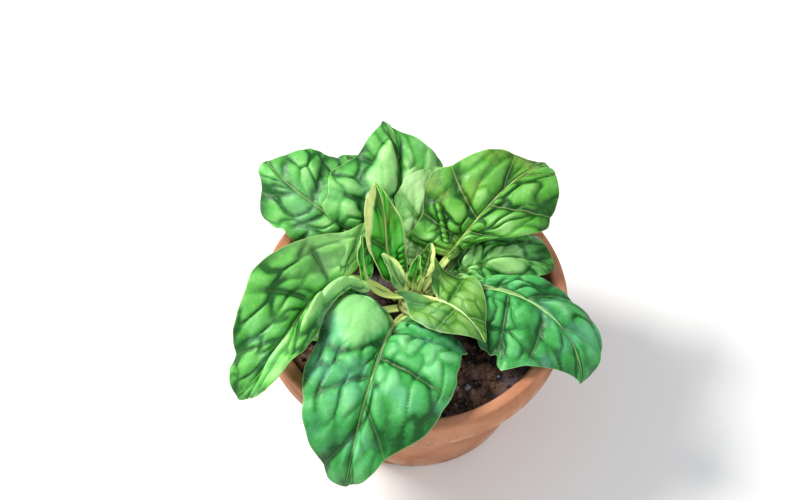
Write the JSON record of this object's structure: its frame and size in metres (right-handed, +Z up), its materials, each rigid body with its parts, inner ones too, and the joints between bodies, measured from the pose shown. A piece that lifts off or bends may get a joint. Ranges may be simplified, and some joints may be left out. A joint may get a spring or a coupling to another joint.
{
  "type": "potted spinach plant",
  "caption": "Leafy savoy spinach rosette with puckered arching leaves, rooted in soil in a wide round clay half pot with drain holes.",
  "frame": {"origin": "centre of the pot's flat base, on the surface that it stands on", "axes": "+Z up through the crown of the plant; -Y towards the viewer of the picture, where the largest leaf hangs over the rim; +X to that viewer's right"},
  "size_m": [0.2951, 0.2947, 0.2002],
  "materials": {
    "clay": "matte",
    "soil": "matte",
    "root_skin": "satin",
    "mature_leaf": "satin",
    "young_leaf": "satin"
  },
  "bodies": {
    "root": {"pot": "clay", "soil": "soil", "crown_and_tap_root": "root_skin", "leaf_front": "mature_leaf", "leaf_left": "mature_leaf", "leaf_back_left": "mature_leaf", "leaf_back": "mature_leaf", "leaf_back_pale": "mature_leaf", "leaf_back_right": "mature_leaf", "leaf_right": "mature_leaf", "leaf_front_right": "mature_leaf", "leaf_rear_low": "mature_leaf", "leaf_rear_left": "mature_leaf", "leaf_rear_right": "mature_leaf", "leaf_side_left": "mature_leaf", "leaf_upright": "young_leaf", "leaf_young_left": "young_leaf", "leaf_young_front": "young_leaf", "leaf_bud_left": "young_leaf", "leaf_bud_middle": "young_leaf", "leaf_bud_right": "young_leaf"}
  },
  "joints": []
}
